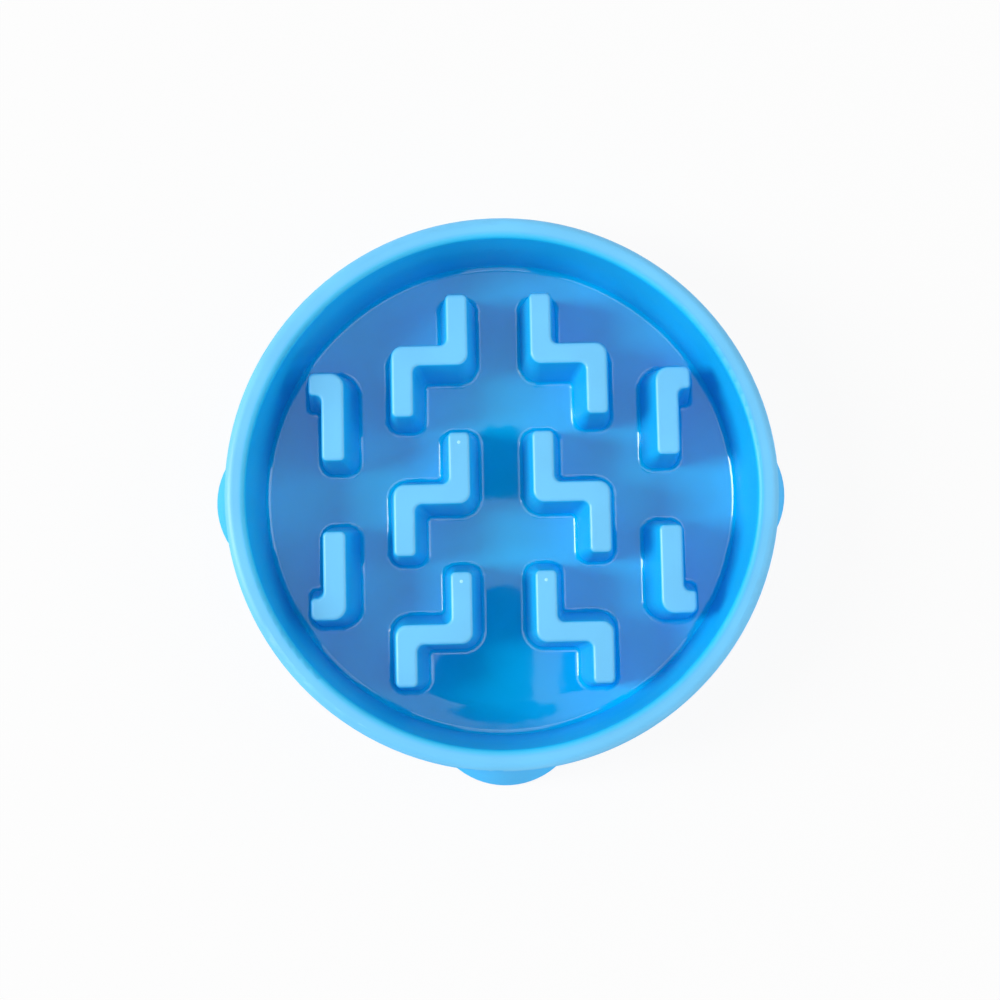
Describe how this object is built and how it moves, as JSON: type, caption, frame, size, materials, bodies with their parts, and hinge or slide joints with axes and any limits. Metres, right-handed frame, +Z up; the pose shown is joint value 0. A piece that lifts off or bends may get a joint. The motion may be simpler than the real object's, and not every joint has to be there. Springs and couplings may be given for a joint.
{
  "type": "slow feeder bowl",
  "caption": "Round moulded pet bowl whose floor carries a maze of raised Z and hook ridges to slow eating, on rubber-padded foot lobes.",
  "frame": {"origin": "on the ground under the bowl's axis", "axes": "+Z up along the bowl's axis; +X to the right and +Y to the back as in the picture, where the maze's short strokes point to the front"},
  "size_m": [0.2214, 0.2214, 0.045],
  "materials": {
    "bowl_plastic": "azure blue moulded plastic, glossy inside, satin on the rim and ridge tops",
    "pad_rubber": "dark grey soft rubber with a grooved tread"
  },
  "bodies": {
    "root": {"bowl_shell": "bowl_plastic", "foot_pad_right": "pad_rubber", "foot_pad_back": "pad_rubber", "foot_pad_left": "pad_rubber", "foot_pad_front": "pad_rubber"}
  },
  "joints": []
}
